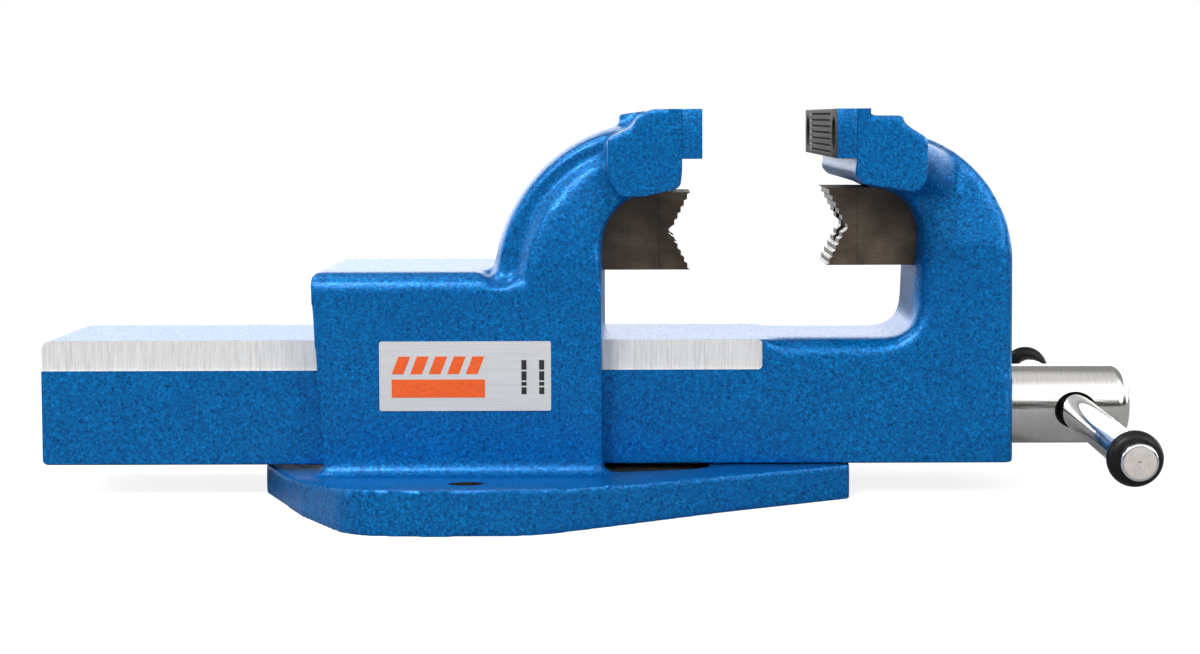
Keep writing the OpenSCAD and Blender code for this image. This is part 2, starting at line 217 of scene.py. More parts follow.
def bevelled(obj, width, angle=30):
    """Real bevels on an object's sharp edges."""
    edge = obj.modifiers.new("edge", "BEVEL")
    edge.width = width * MM
    edge.segments = BEVEL_SEGMENTS
    edge.limit_method = "ANGLE"
    edge.angle_limit = math.radians(angle)
    edge.miter_outer = "MITER_ARC"
    return obj


def piece(obj, body, slot, *nodes):
    """Puts a finished piece on its body, in place of its CAD nodes."""
    shade(obj)
    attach(obj, body)
    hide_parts(*nodes)
    return obj


# ------------------------ materials


def set_stops(ramp, stops):
    """Gives a colour ramp its (position, colour) stops."""
    while len(ramp.elements) < len(stops):
        ramp.elements.new(0.5)
    for element, (position, colour) in zip(ramp.elements, stops):
        element.position = position
        element.color = (*colour, 1.0)


def set_inputs(node, values):
    """Sets a node's inputs by their names in lower case, with underscores."""
    for name, value in values.items():
        node.inputs[name.replace("_", " ").title().replace("Ior", "IOR")].default_value = value


class Nodes:
    """A material's node tree, with short calls to add and join nodes."""

    def __init__(self, name):
        self.material = bpy.data.materials.new(name)
        self.material.use_nodes = True
        self.tree = self.material.node_tree
        self.shader = self.tree.nodes["Principled BSDF"]
        coords = self.tree.nodes.new("ShaderNodeTexCoord")
        self.place = coords.outputs["Object"]

    def link(self, source, target):
        self.tree.links.new(source, target)

    def set(self, **values):
        set_inputs(self.shader, values)

    def add(self, kind, **values):
        """A new node of a kind, with its inputs set."""
        node = self.tree.nodes.new("ShaderNode" + kind)
        set_inputs(node, values)
        return node

    def stretched(self, scale):
        """Object coordinates with each axis scaled."""
        node = self.add("Mapping", scale=scale)
        self.link(self.place, node.inputs["Vector"])
        return node.outputs["Vector"]

    def noise(self, scale, detail=3.0, rough=0.55, distortion=0.0, vector=None):
        node = self.add("TexNoise", scale=scale, detail=detail, roughness=rough, distortion=distortion)
        self.link(vector or self.place, node.inputs["Vector"])
        return node.outputs["Fac"]

    def ramp(self, source, stops):
        """Colours along a value, as (position, colour) stops."""
        node = self.add("ValToRGB")
        set_stops(node.color_ramp, stops)
        self.link(source, node.inputs["Fac"])
        return node.outputs["Color"]

    def spread(self, source, low, high, start=0.0, end=1.0):
        """Maps a value from start..end to low..high."""
        node = self.add("MapRange", from_min=start, from_max=end, to_min=low, to_max=high)
        self.link(source, node.inputs["Value"])
        return node.outputs["Result"]

    def mix(self, factor, first, second):
        """Blends two colours, each a socket or a colour."""
        node = self.add("Mix")
        node.data_type = "RGBA"
        for socket, value in ((node.inputs[0], factor), (node.inputs[6], first), (node.inputs[7], second)):
            if isinstance(value, bpy.types.NodeSocket):
                self.link(value, socket)
            elif isinstance(value, float):
                socket.default_value = value
            else:
                socket.default_value = (*value, 1.0)
        return node.outputs[2]

    def bump(self, height, depth, strength, under=None):
        """A bump of a height map, depth metres deep, over an earlier one."""
        node = self.add("Bump", strength=strength, distance=depth)
        self.link(height, node.inputs["Height"])
        if under:
            self.link(under, node.inputs["Normal"])
        return node.outputs["Normal"]

    def finish(self, colour=None, rough=None, normal=None):
        for socket, name in ((colour, "Base Color"), (rough, "Roughness"), (normal, "Normal")):
            if socket:
                self.link(socket, self.shader.inputs[name])
        return self.material


def hammertone():
    """Glossy blue hammer paint: dark veins and bright flakes over fine dimples."""
    m = Nodes("hammertone_blue")
    veins = m.noise(880, detail=4.0, rough=0.65, distortion=0.8)
    flakes = m.noise(1900, detail=2.0, rough=0.5)
    drift = m.noise(26, detail=2.0)
    paint = m.ramp(veins, [
        (0.30, (0.0002, 0.030, 0.130)), (0.44, (0.0003, 0.100, 0.320)),
        (0.56, (0.0004, 0.168, 0.490)), (0.70, (0.0020, 0.290, 0.740))])
    glint = m.ramp(flakes, [(0.60, (0.0, 0.0, 0.0)), (0.74, (1.0, 1.0, 1.0))])
    paint = m.mix(m.spread(glint, 0.0, 0.4), paint, (0.006, 0.38, 0.85))
    paint = m.mix(m.spread(drift, 0.0, 0.3, 0.35, 0.7), paint, (0.0004, 0.090, 0.33))
    dimples = m.bump(veins, 0.00022, 0.55)
    normal = m.bump(flakes, 0.00006, 0.5, dimples)
    m.set(metallic=0.4, specular_ior_level=0.12, coat_weight=0.18, coat_roughness=0.14)
    m.link(normal, m.shader.inputs["Coat Normal"])
    return m.finish(paint, m.spread(veins, 0.42, 0.26), normal)


def milled_steel():
    """Bright slide ways with the marks of the grinder across them; also the painted highlight of the jaw
    plates' border lines.
    """
    m = Nodes("milled_steel")
    streaks = m.noise(1.0, detail=5.0, rough=0.7, distortion=0.25, vector=m.stretched((1900, 60, 90)))
    wide = m.noise(1.0, detail=2.0, vector=m.stretched((160, 20, 40)))
    metal = m.ramp(streaks, [
        (0.28, (0.54, 0.54, 0.54)), (0.5, (0.77, 0.77, 0.765)), (0.7, (0.90, 0.90, 0.895))])
    metal = m.mix(m.spread(wide, 0.0, 0.4, 0.3, 0.75), metal, (0.74, 0.74, 0.74))
    m.set(metallic=0.25, anisotropic=0.4)
    return m.finish(metal, m.spread(streaks, 0.30, 0.50), m.bump(streaks, 0.00003, 0.5))


def turned_steel():
    """Turned steel with fine rings round the X axis."""
    m = Nodes("turned_steel_x")
    rings = m.noise(1.0, detail=4.0, rough=0.65, vector=m.stretched((2600, 30, 30)))
    stain = m.noise(150, detail=3.0)
    metal = m.ramp(rings, [
        (0.3, (0.70, 0.685, 0.66)), (0.55, (0.80, 0.785, 0.765)), (0.75, (0.88, 0.865, 0.85))])
    metal = m.mix(m.spread(stain, 0.0, 0.2, 0.4, 0.8), metal, (0.60, 0.57, 0.54))
    m.set(metallic=1.0)
    return m.finish(metal, m.spread(rings, 0.10, 0.20), m.bump(rings, 0.000006, 0.25))


def faced_steel():
    """The pale, rubbed end of a chromed bar."""
    m = Nodes("faced_steel")
    rub = m.noise(420, detail=4.0, rough=0.6)
    metal = m.ramp(rub, [(0.3, (0.52, 0.48, 0.46)), (0.6, (0.60, 0.56, 0.535)), (0.8, (0.66, 0.62, 0.60))])
    m.set(metallic=0.15)
    return m.finish(metal, m.spread(rub, 0.40, 0.55), m.bump(rub, 0.00003, 0.4))


def hard_steel():
    """Blackened hard steel, with worn brown-grey patches; also the painted shade inside holes and the
    tongue's pocket.
    """
    m = Nodes("hard_steel")
    cloud = m.noise(240, detail=4.0, rough=0.6)
    grain = m.noise(2200, detail=2.0)
    metal = m.ramp(cloud, [
        (0.32, (0.012, 0.010, 0.008)), (0.55, (0.026, 0.022, 0.018)), (0.75, (0.055, 0.048, 0.041))])
    m.set(metallic=0.1, specular_ior_level=0.15)
    return m.finish(metal, m.spread(cloud, 0.50, 0.66), m.bump(grain, 0.00003, 0.5))


def worn_steel():
    """Teeth rubbed bright at their tips, over dark steel."""
    m = Nodes("worn_steel")
    rub = m.noise(1.0, detail=4.0, rough=0.7, vector=m.stretched((900, 260, 900)))
    metal = m.ramp(rub, [
        (0.34, (0.07, 0.065, 0.06)), (0.52, (0.26, 0.25, 0.235)), (0.70, (0.62, 0.61, 0.59))])
    m.set(metallic=0.85)
    return m.finish(metal, m.spread(rub, 0.48, 0.28), m.bump(rub, 0.00004, 0.5))


def pipe_steel():
    """Brown-grey forged steel with fine level scratches."""
    m = Nodes("pipe_steel")
    scratch = m.noise(1.0, detail=4.0, rough=0.7, vector=m.stretched((120, 120, 1700)))
    cloud = m.noise(90, detail=3.0)
    metal = m.ramp(cloud, [
        (0.30, (0.058, 0.042, 0.030)), (0.55, (0.105, 0.079, 0.056)), (0.78, (0.155, 0.120, 0.088))])
    metal = m.mix(m.spread(scratch, 0.0, 0.5, 0.45, 0.8), metal, (0.030, 0.025, 0.020))
    m.set(metallic=0.55)
    return m.finish(metal, m.spread(scratch, 0.42, 0.58), m.bump(scratch, 0.00003, 0.4))


def chrome():
    """Polished chrome with a faint haze."""
    m = Nodes("chrome")
    haze = m.noise(300, detail=3.0)
    fine = m.noise(1.0, detail=3.0, vector=m.stretched((60, 900, 60)))
    m.set(metallic=1.0)
    colour = m.ramp(haze, [(0.3, (0.66, 0.66, 0.68)), (0.7, (0.80, 0.80, 0.81))])
    return m.finish(colour, m.spread(haze, 0.05, 0.11), m.bump(fine, 0.00001, 0.15))


def rubber():
    """Black rubber with a satin skin."""
    m = Nodes("black_rubber")
    grain = m.noise(1800, detail=3.0)
    bloom = m.noise(120, detail=3.0)
    colour = m.ramp(bloom, [(0.35, (0.006, 0.006, 0.006)), (0.7, (0.016, 0.016, 0.017))])
    m.set(specular_ior_level=0.2)
    return m.finish(colour, m.spread(bloom, 0.30, 0.42), m.bump(grain, 0.00004, 0.4))


def bronze():
    """Machined nut bronze."""
    m = Nodes("nut_bronze")
    cuts = m.noise(1.0, detail=4.0, rough=0.6, vector=m.stretched((40, 1500, 40)))
    stain = m.noise(110, detail=3.0)
    colour = m.ramp(cuts, [(0.3, (0.33, 0.19, 0.055)), (0.6, (0.50, 0.32, 0.11)), (0.8, (0.60, 0.41, 0.17))])
    colour = m.mix(m.spread(stain, 0.0, 0.5, 0.45, 0.8), colour, (0.20, 0.115, 0.045))
    m.set(metallic=1.0)
    return m.finish(colour, m.spread(cuts, 0.30, 0.46), m.bump(cuts, 0.00003, 0.4))


def label_metal():
    """Satin aluminium sheet, brushed along its length."""
    m = Nodes("label_aluminium")
    brush = m.noise(1.0, detail=4.0, vector=m.stretched((45, 45, 2600)))
    colour = m.ramp(brush, [(0.3, (0.60, 0.60, 0.595)), (0.7, (0.70, 0.70, 0.695))])
    m.set(metallic=0.2)
    return m.finish(colour, m.spread(brush, 0.36, 0.5), m.bump(brush, 0.00001, 0.3))


def ink(name, colour):
    """Screen-printed ink, a little uneven."""
    m = Nodes(name)
    wear = m.noise(900, detail=3.0)
    worn = [c * 0.82 for c in colour]
    tone = m.ramp(wear, [(0.3, worn), (0.6, colour)])
    return m.finish(tone, m.spread(wear, 0.38, 0.55), m.bump(wear, 0.00001, 0.3))


PAINT = hammertone()
WAY_STEEL_AND_HIGHLIGHT = milled_steel()
TURNED = turned_steel()
CHROME = chrome()
RUBBER = rubber()
HARD_STEEL_AND_SHADE = hard_steel()
PIPE = pipe_steel()
BRONZE = bronze()
LABEL = label_metal()
ORANGE = ink("orange_ink", (0.90, 0.115, 0.012))
BLACK = ink("black_ink", (0.016, 0.016, 0.017))


# ------------------------ the two castings

BAR_LOW, BAR_HIGH = box_mm("slide_casting")
FIXED_LOW, FIXED_HIGH = box_mm("jaw_plate_fixed")
MOVING_LOW, MOVING_HIGH = box_mm("jaw_plate_moving")
PIPE_FIXED_LOW, PIPE_FIXED_HIGH = box_mm("pipe_jaw_fixed")
PIPE_MOVING_LOW, PIPE_MOVING_HIGH = box_mm("pipe_jaw_moving")
LABEL_LOW, LABEL_HIGH = box_mm("label_plate")
SCREW_LOW, SCREW_HIGH = box_mm("lead_screw")
BAR_Z = (SCREW_LOW.z + SCREW_HIGH.z) / 2

FLOOR_Z = box_mm("main_nut")[0].z  # top of the flange, where the nut stands
GAP = BAR_LOW.z - FLOOR_Z       # clearance round the slide bar
BAR_TOP = 61.0
BAR_HALF = 28.0
WAY_Z = 49.6                    # bottom of the machined way
WAY_DEPTH = 1.0
WAY_END = 108.8
HOUSING_HALF = -LABEL_HIGH.y
HOUSING_REAR = -60.8
HOUSING_FRONT = PIPE_FIXED_LOW.x
HOUSING_TOP = 87.6
UPRIGHT = PIPE_MOVING_HIGH.x
FRONT = BAR_HIGH.x
HEAD_HALF = FIXED_HIGH.y
HEAD_TOP = FIXED_HIGH.z
LAND = FIXED_LOW.z              # underside of the jaw plates
FIXED_ARCH = (68.6, 82.0, 61.8)  # centre X, centre Z, radius
MOVING_ARCH = (FRONT - 49.8, 90.5, 49.8)
BAY_HALF = 15.0
BAY_TOP = 50.4
BAY_END = 178.0
LUG_ROOT = 11.5                 # thickness of the base beside the housing
LUG_RIM = 16.6                  # and at the ends of its lugs
LUG_INNER = 42.0                # where each lug starts to rise, across the base
LUG_OUTER = 92.0
TONGUE_INNER = 29.0             # the same two places on the tongue
TONGUE_OUTER = 114.0
TONGUE_START = 54.0             # the lugs blend into the tongue between these two X
TONGUE_FULL = 96.0
BENCH_HOLE = (0.0, 70.0, 6.5)   # X, distance across, and radius
NUT_SCREWS = (18.0, 38.0)
NUT_SCREW_HEAD = (7.5, 9.0)     # radius and depth of the counterbore for a screw's head
NUT_SCREW_CLEAR = 4.3           # and radius of its hole
BORE_RADIUS = 10.1              # the screw's hole through the moving jaw
HUB_RECESS = (16.2, 3.0)        # radius and depth of the recess for the hub
LAND_DEPTH = 5
SEAT_CLEAR = 0.1                # room round a pipe jaw in its seat
THROAT_LOW = 16.0               # radius of the throat's lower corner
THROAT_HIGH = 17.0              # and of its upper one
THROAT_HIGH_Z = 101.0
THROAT_ROUND = 7.5              # rounding of the throat's edges
THROAT_STEPS = 6
SOFT = (2.0, 9)                 # voxel and smoothing passes for a casting's broad curves
CRISP = (1.0, 3)                # and for its finished skin


def merged(name, objects):
    """Joins meshes into one object, for recast() to fuse."""
    bm = bmesh.new()
    for obj in objects:
        bm.from_mesh(obj.data)
    mesh = bpy.data.meshes.new(name)
    bm.to_mesh(mesh)
    bm.free()
    mesh.materials.append(objects[0].data.materials[0])
    joined = bpy.data.objects.new(name, mesh)
    bpy.context.collection.objects.link(joined)
    for obj in objects:
        bpy.data.objects.remove(obj)
    return joined


def across(name, outline, half):
    """A painted prism from an XZ outline, as wide on both sides of the middle."""
    return prism(name, outline, "y", -half, half, PAINT)


def arch_band(name, outline, arch, near):
    """An arch turned from its near flank's (across, radius) profile, mirrored to the far side."""
    profile = near + [(-y, r) for y, r in reversed(near)]
    disc = lathe(name + "_disc", profile, (arch[0], arch[1]), "y", PAINT, 128)
    return combine(across(name, outline, -near[0][0]), [disc], "INTERSECT")


def head_outline_fixed():
    face = FIXED_LOW.x
    return rounded([
        (face, HEAD_TOP, 0.4), (67.2, HEAD_TOP, 0.6), (61.6, 146.0, 1.0), (59.7, 141.6, 2.5),
        (50.8, 137.6, 2.4), (50.4, 124.5, 9), (55.5, 116.0, 5), (65.0, 116.8, 6), (77.2, 119.6, 3.2),
        (face, 126.0, 3)])


def head_outline_moving():
    face = MOVING_HIGH.x
    return rounded([
        (face, LAND - 1.0, 0.6), (face, HEAD_TOP, 0.4), (144.1, HEAD_TOP, 0.5), (144.6, 145.7, 0.6),
        (157.0, 145.7, 0.9), (158.0, 142.6, 3), (166.1, 137.4, 3), (166.2, 122.6, 6), (162.4, 117.6, 4),
        (142.6, 121.0, 3), (139.9, 124.0, 1.5)])


def flange_outline():
    """The bench flange seen from above: two lugs, a tapered rear and a long tongue."""
    near = [(-82.6, -14, 2.5), (-61.5, -57.5, 25), (-40.0, -89.5, 22), (-12.0, -92.3, 60), (26.0, -91.0, 40),
            (54.0, -75.5, 70), (88.0, -56.0, 90), (142.0, -28.8, 1.5)]
    far = [(x, -y, radius) for x, y, radius in reversed(near)]
    return rounded(near + far, 10)


def flange_slice(low, high, along):
    """The base between two X, where along goes from 0 at the lugs to 1 on the tongue."""
    inner = LUG_INNER + (TONGUE_INNER - LUG_INNER) * along
    outer = LUG_OUTER + (TONGUE_OUTER - LUG_OUTER) * along
    middle = LUG_ROOT + (FLOOR_Z - LUG_ROOT) * along
    rise = [(-outer - 20, 0), (outer + 20, 0), (outer + 20, LUG_RIM), (outer, LUG_RIM), (inner, middle),
            (-inner, middle), (-outer, LUG_RIM), (-outer - 20, LUG_RIM)]
    plate = prism("flange", flange_outline(), "z", 0, LUG_RIM + 1, PAINT)
    return combine(plate, [prism("rise", rise, "x", low, high, PAINT)], "INTERSECT")


def flange_parts():
    """The base: thin beside the housing, rising to its lugs, and blending into a flatter tongue."""
    steps = 12
    overlap = 2.0
    half = 2.2
    lugs = flange_slice(-95, TONGUE_START + overlap, 0.0)
    tongue = flange_slice(TONGUE_FULL - overlap, 150, 1.0)
    blend = [(TONGUE_START + (TONGUE_FULL - TONGUE_START) * i / steps, i / steps) for i in range(1, steps)]
    return [lugs, tongue] + [flange_slice(x - half, x + half, along) for x, along in blend]


def housing_block(name):
    """The housing under the arch, with a hollow where the arch's foot runs into its top."""
    foot = FLOOR_Z - 4
    inside_arch = 93
    corner = 7
    side = rounded([
        (HOUSING_REAR + 5.0, foot, 0), (HOUSING_FRONT, foot, 0), (HOUSING_FRONT, inside_arch, 0),
        (18.5, inside_arch, 0), (17.4, 85.0, 3), (12.5, 82.4, 3), (7.0, 82.6, 2.5), (2.5, HOUSING_TOP, 2.5),
        (HOUSING_REAR, HOUSING_TOP, 3.2)])
    front = rounded([
        (-HOUSING_HALF, foot, 0), (HOUSING_HALF, foot, 0),
        (HOUSING_HALF, HOUSING_TOP, corner), (-HOUSING_HALF, HOUSING_TOP, corner)])
    block_front = prism(name + "_front", front, "x", HOUSING_REAR - 1, HOUSING_FRONT + 1, PAINT)
    return combine(across(name, side, HOUSING_HALF), [block_front], "INTERSECT")


def fixed_arch_shape(name):
    """Flush with the housing below, slimmer at the top, and slanting in to its rim."""
    centre_x, centre_z, radius = FIXED_ARCH
    outline = [(HOUSING_FRONT, FLOOR_Z)] + arc(HOUSING_FRONT + 20, 97, 20, 180, 90)
    outline += [(74, 119), (66, 140)] + arc(centre_x, centre_z, radius, 100, 180, 24)
    outline += [(centre_x - radius, FLOOR_Z)]
    half = HOUSING_HALF
    near = [(-half, 0), (-half, radius - 14), (-half + 1.5, radius - 12.0), (-33.4, radius - 9.5),
            (-32.6, radius - 7.0), (-34.6, radius - 3.6), (-33.4, radius - 1.6), (-24.0, radius)]
    taper = [(-half, 0), (half, 0), (half, 92), (38.8, 106), (36.8, 122), (36.4, 150), (-36.4, 150),
             (-36.8, 122), (-38.8, 106), (-half, 92)]
    band = arch_band(name, outline, FIXED_ARCH, near)
    return combine(band, [prism("taper", taper, "x", 0, 90, PAINT)], "INTERSECT")


def moving_near():
    """The near flank of the moving jaw as (across, radius) points: it rounds into the front face."""
    radius = MOVING_ARCH[2]
    return [(-BAR_HALF, 0), (-BAR_HALF, radius - 3), (-BAR_HALF + 0.7, radius - 1.2),
            (-BAR_HALF + 1.8, radius - 0.3), (-BAR_HALF + 3, radius)]


def front_section(low_x):
    """The moving jaw's plan from low_x to its rounded front corners."""
    near = [(max(low_x, MOVING_ARCH[0] + r), y) for y, r in moving_near()]
    return near + [(x, -y) for x, y in reversed(near)]


def throat_cutters():
    """What rounds the throat's edges on both flanks of the moving jaw, as thin slabs of a growing void."""
    left = WAY_END + 5
    slabs = []
    for i in range(THROAT_STEPS):
        depth = THROAT_ROUND * (i + 1) / THROAT_STEPS
        inset = THROAT_ROUND * (i + 0.5) / THROAT_STEPS
        grow = THROAT_ROUND - math.sqrt(THROAT_ROUND ** 2 - (THROAT_ROUND - inset) ** 2)
        void = [(left, THROAT_HIGH_Z + THROAT_HIGH + grow), (left, BAR_TOP - grow)]
        void += arc(UPRIGHT - THROAT_LOW, BAR_TOP + THROAT_LOW, THROAT_LOW + grow, 270, 360)
        void += arc(UPRIGHT - THROAT_HIGH, THROAT_HIGH_Z, THROAT_HIGH + grow, 0, 90)
        for sign in (-1, 1):
            low, high = sorted((sign * (BAR_HALF + 2), sign * (BAR_HALF - depth)))
            slabs.append(prism("void", void, "y", low, high, PAINT))
    return slabs


def moving_arch_shape(name):
    """The arch that carries the moving head, slimmer at the top."""
    centre_x, centre_z, radius = MOVING_ARCH
    outline = [(UPRIGHT - 4, BAR_LOW.z + 20), (FRONT, BAR_LOW.z + 20)]
    outline += arc(centre_x, centre_z, radius, 0, 72, 20) + [(150, 141), (150, 118)]
    outline += arc(UPRIGHT - THROAT_HIGH, THROAT_HIGH_Z, THROAT_HIGH, 90, 0)
    taper = [(-BAR_HALF, 0), (BAR_HALF, 0), (BAR_HALF, 96), (25, 118), (23.5, 150), (-23.5, 150), (-25, 118),
             (-BAR_HALF, 96)]
    band = arch_band(name, outline, MOVING_ARCH, moving_near())
    return combine(band, [prism("taper", taper, "x", 100, 210, PAINT)], "INTERSECT")


def web(name, arch, plan, slope):
    """A web that widens an arch towards its head, from a plan outline and a YZ one with a sloping foot."""
    centre_x, centre_z, radius = arch
    reach = 60
    rim = radius - 2.5
    disc = lathe(name + "_disc", [(-reach, 0), (-reach, rim), (reach, rim), (reach, 0)],
                 (centre_x, centre_z), "y", PAINT)
    foot = prism(name + "_foot", slope, "x", plan[0][0] - reach, plan[0][0] + reach, PAINT)
    return combine(prism(name, plan, "z", 90, 142, PAINT), [disc, foot], "INTERSECT")


def bench_hole(sign):
    """A bolt hole through the near or far lug, its wall cut in near-black steel as painted shade."""
    x, y, radius = BENCH_HOLE
    profile = [(-2, 0), (-2, radius), (LUG_RIM + 2, radius), (LUG_RIM + 2, 0)]
    # painted shade: the hole's wall takes the near-black steel
    return lathe("bench_hole", profile, (x, sign * y), "z", HARD_STEEL_AND_SHADE, 64)


def nut_screw_hole(x):
    """A stepped hole for one of the screws that hold the nut from below."""
    head, depth = NUT_SCREW_HEAD
    profile = [(-2, 0), (-2, head), (depth, head), (depth, NUT_SCREW_CLEAR), (FLOOR_Z + 2, NUT_SCREW_CLEAR),
               (FLOOR_Z + 2, 0)]
    return lathe("nut_screw_hole", profile, (x, 0.0), "z", TURNED, 48)


def guide_cutter():
    """The channel that the slide bar runs in."""
    half = BAR_HALF + GAP
    outline = [(-half, FLOOR_Z), (half, FLOOR_Z), (half, WAY_Z + GAP), (half - WAY_DEPTH, WAY_Z + GAP),
               (half - WAY_DEPTH, BAR_TOP + GAP), (-half + WAY_DEPTH, BAR_TOP + GAP),
               (-half + WAY_DEPTH, WAY_Z + GAP), (-half, WAY_Z + GAP)]
    return prism("guide", outline, "x", HOUSING_REAR - 6, HOUSING_FRONT + 6, WAY_STEEL_AND_HIGHLIGHT)


def tongue_recess():
    """The pocket in the tongue, in front of the housing, its faces cut in near-black steel as painted shade.
    """
    start, corner, end = HOUSING_FRONT + 0.5, HOUSING_FRONT + 36, HOUSING_FRONT + 40.4
    half, end_half = 34, 30
    outline = [(start, half), (start, -half), (corner, -half), (end, -end_half), (end, end_half),
               (corner, half)]
    # painted shade: the pocket's floor and walls take the near-black steel
    return prism("tongue_recess", outline, "z", LUG_ROOT, FLOOR_Z + 9, HARD_STEEL_AND_SHADE)


def pipe_seat(low, high):
    """The slot that holds a pipe jaw."""
    clear = Vector((SEAT_CLEAR, SEAT_CLEAR, SEAT_CLEAR))
    return block("pipe_seat", low - clear, high + clear, PAINT)


def sharp_land(low, high, face, into):
    """The machined land behind a jaw plate, which stays square where the plate meets it."""
    near, far = sorted((face, face + LAND_DEPTH * into))
    return block("land", (near, low.y, low.z), (far, high.y, high.z), PAINT)


def fixed_casting():
    """The body: flange, housing, arch and head as one skin, then its lands, channel and holes."""
    crown = rounded([(54.6, 138, 0), (54.6, 146.3, 0.9), (68.0, HEAD_TOP, 0), (68.0, 136, 0)])
    soft = merged("body_casting_soft", flange_parts() + [
        housing_block("housing"),
        fixed_arch_shape("arch"),
        across("head", head_outline_fixed(), HEAD_HALF)])
    recast(soft, *SOFT)
    crisp = merged("body_casting_look", flange_parts() + [
        housing_block("housing"),
        across("head", head_outline_fixed(), HEAD_HALF),
        across("crown", crown, 23),
        soft])
    recast(crisp, *CRISP)
    combine(crisp, [sharp_land(FIXED_LOW, FIXED_HIGH, FIXED_LOW.x, -1)], "UNION")
    cutters = [guide_cutter(), tongue_recess(), bench_hole(-1), bench_hole(1),
               pipe_seat(PIPE_FIXED_LOW, PIPE_FIXED_HIGH)]
    cutters += [nut_screw_hole(x) for x in NUT_SCREWS]
    combine(crisp, cutters, "DIFFERENCE")
    return piece(crisp, BODY, "blue_paint", "body_casting")


def way_cutter(sign):
    """The machined way on one side of the bar, with the mill's rounded corners at its end."""
    outline = rounded([
        (BAR_LOW.x - 5, WAY_Z, 0), (WAY_END, WAY_Z, 1.6), (WAY_END, BAR_TOP - 0.1, 1.6),
        (WAY_END - 3, BAR_TOP + 0.4, 0), (WAY_END - 3, BAR_TOP + 4, 0), (BAR_LOW.x - 5, BAR_TOP + 4, 0)])
    near, far = sorted((sign * (BAR_HALF - WAY_DEPTH), sign * (BAR_HALF + 6)))
    return prism("way", outline, "y", near, far, WAY_STEEL_AND_HIGHLIGHT)


def moving_casting():
    """The slide bar, upright, arch and head as one skin, then its lands, ways, bay and bore."""
    inner = FRONT - 12                  # where the bar ends inside the upright
    bar_high = BAR_TOP + 24
    upright_high = 91
    crisp_high = 46                     # below this the upright keeps its crisp corners
    low_edge, high_edge = 0.8, 3.0      # rounding of the bar's rear end
    bar = rounded([
        (BAR_LOW.x, BAR_LOW.z, low_edge), (inner, BAR_LOW.z, 0), (inner, bar_high, 0),
        (UPRIGHT, bar_high, 0), (UPRIGHT, BAR_TOP, THROAT_LOW), (BAR_LOW.x, BAR_TOP, high_edge)], 10)
    rear = rounded([
        (BAR_LOW.x, BAR_LOW.z, low_edge), (WAY_END + 2, BAR_LOW.z, 0), (WAY_END + 2, BAR_TOP, 0),
        (BAR_LOW.x, BAR_TOP, high_edge)], 10)
    lower = [(WAY_END, BAR_LOW.z), (inner, BAR_LOW.z), (inner, crisp_high), (WAY_END, crisp_high)]
    plan = [(182, -25), (170, -42), (165, -49), (165, 49), (170, 42), (182, 25)]
    slope = [(-52, 140), (-52, 131), (-26, 114), (26, 114), (52, 131), (52, 140)]
    soft = merged("slide_casting_soft", [
        combine(across("bar", bar, BAR_HALF), throat_cutters(), "DIFFERENCE"),
        prism("upright", front_section(FRONT - 26), "z", BAR_LOW.z, upright_high, PAINT),
        combine(moving_arch_shape("arch"), throat_cutters(), "DIFFERENCE"),
        web("web", MOVING_ARCH, plan, slope),
        across("head", head_outline_moving(), HEAD_HALF)])
    recast(soft, *SOFT)
    crisp = merged("slide_casting_look", [
        across("rear", rear, BAR_HALF),
        across("lower", lower, BAR_HALF),
        prism("front", front_section(FRONT - 14), "z", BAR_LOW.z, crisp_high, PAINT),
        across("head", head_outline_moving(), HEAD_HALF),
        soft])
    recast(crisp, *CRISP)
    combine(crisp, [sharp_land(MOVING_LOW, MOVING_HIGH, MOVING_HIGH.x, 1)], "UNION")
    bay = block("bay", (BAR_LOW.x - 5, -BAY_HALF, BAR_LOW.z - 5), (BAY_END, BAY_HALF, BAY_TOP), PAINT)
    hub, depth = HUB_RECESS
    bore = lathe("bore", [(BAY_END - 3, 0), (BAY_END - 3, BORE_RADIUS), (FRONT - depth, BORE_RADIUS),
                          (FRONT - depth, hub), (FRONT + 4, hub), (FRONT + 4, 0)], (0.0, BAR_Z), "x", TURNED)
    cutters = [way_cutter(-1), way_cutter(1), bay, bore,
               pipe_seat(PIPE_MOVING_LOW, PIPE_MOVING_HIGH)]
    combine(crisp, cutters, "DIFFERENCE")
    return piece(crisp, JAW, "blue_paint", "slide_casting")


fixed_casting()
moving_casting()


# ------------------------ screw and handle

COLLAR_LOW, COLLAR_HIGH = box_mm("retaining_collar")
SPRING_END = box_mm("spring_seat")[0].x  # where the spring meets its seat
LEAD = 4.0
THREAD_DEPTH = 2.2
SCREW_RADIUS = 10.0
HUB_RADIUS = 15.5
HUB_END = 5.6                   # rounding of the hub's end
HANDLE_TILT = math.radians(2.0)
HANDLE_X = sum(box_mm("handle_bar"), Vector()).x / 2
RING_NEAR = sum(box_mm("handle_ring_near"), Vector()).y / 2 / math.cos(HANDLE_TILT)
RING_FAR = sum(box_mm("handle_ring_far"), Vector()).y / 2 / math.cos(HANDLE_TILT)
HANDLE_MIDDLE = (RING_NEAR + RING_FAR) / 2
HANDLE_HALF = 97.5              # half the bar's length
HANDLE_RADIUS = 6.5
RING_SEAT = 5.5                 # radius of the bar under a ring, and of its end face
RING_HALF = 3.1                 # half a ring's width
CROSS_HOLE = 6.6                # radius of the handle's hole through the head
PIN_HOLE = 2
END = faced_steel()


def tilted(obj):
    """Turns a mesh from the Y direction onto the handle's own axis."""
    centre = Vector((HANDLE_X, 0.0, BAR_Z)) * MM
    turn = Matrix.Translation(centre) @ Matrix.Rotation(HANDLE_TILT, 4, "X") @ Matrix.Translation(-centre)
    obj.data.transform(turn)
    return obj


def thread_depth(phase):
    """How far a trapezoid thread is cut below its crest, over one turn."""
    crest = 0.34
    flank = 0.16
    phase %= 1.0
    if phase < crest:
        return 0.0
    if phase < crest + flank:
        return THREAD_DEPTH * (phase - crest) / flank
    if phase < 1.0 - flank:
        return THREAD_DEPTH
    return THREAD_DEPTH * (1.0 - phase) / flank


